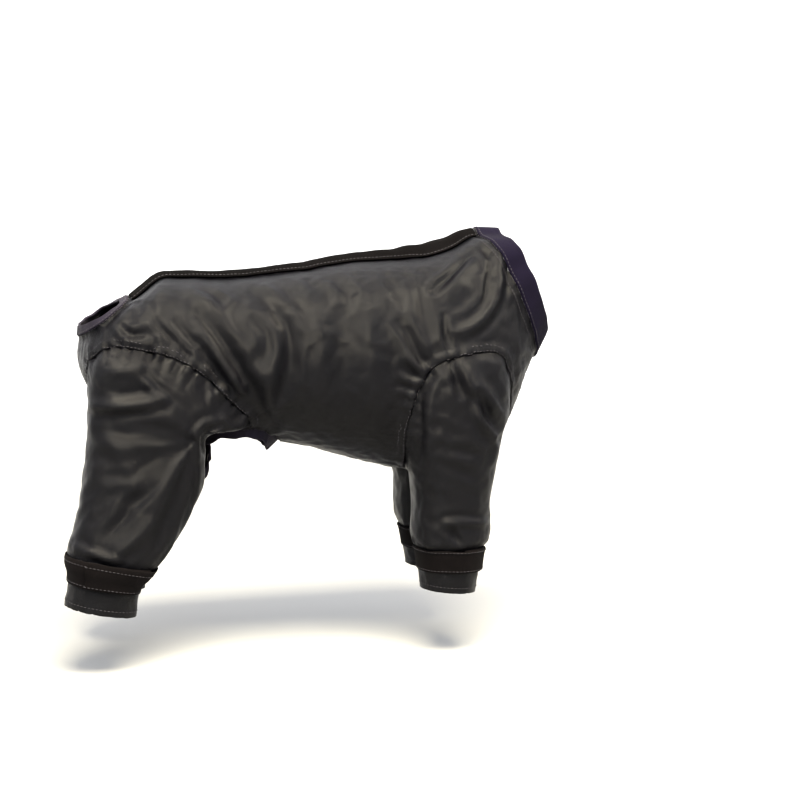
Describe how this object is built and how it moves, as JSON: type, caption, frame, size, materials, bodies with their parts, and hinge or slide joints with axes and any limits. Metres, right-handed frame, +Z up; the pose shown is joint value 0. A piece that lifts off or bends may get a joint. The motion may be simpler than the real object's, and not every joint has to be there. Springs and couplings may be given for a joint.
{
  "type": "dog rain suit",
  "caption": "Four-legged rain suit for a small dog in worn form, with sleeves, cuff straps, a back placket, a neck band, a bound tail hole and a belly cut-out.",
  "frame": {"origin": "inner face of the cloth on the spine at mid-back, where the suit sits on the wearer's back", "axes": "+X along the body to the neck, +Y to the suit's left, +Z up"},
  "size_m": [0.4087, 0.1796, 0.3047],
  "materials": {
    "coated_cloth": "water-repellent coated nylon, semi-gloss",
    "strap_tape": "matte woven hook-and-loop tape",
    "band_knit": "matte folded band",
    "elastic_binding": "matte elastic binding"
  },
  "bodies": {
    "root": {"rear_panel_right": "coated_cloth", "rear_panel_left": "coated_cloth", "front_panel_right": "coated_cloth", "front_panel_left": "coated_cloth", "front_sleeve_right": "coated_cloth", "front_sleeve_left": "coated_cloth", "hind_sleeve_right": "coated_cloth", "hind_sleeve_left": "coated_cloth", "front_strap_right": "strap_tape", "front_strap_left": "strap_tape", "hind_strap_right": "strap_tape", "hind_strap_left": "strap_tape", "back_placket": "strap_tape", "neck_band": "band_knit", "tail_binding": "elastic_binding", "belly_binding": "elastic_binding"}
  },
  "joints": []
}
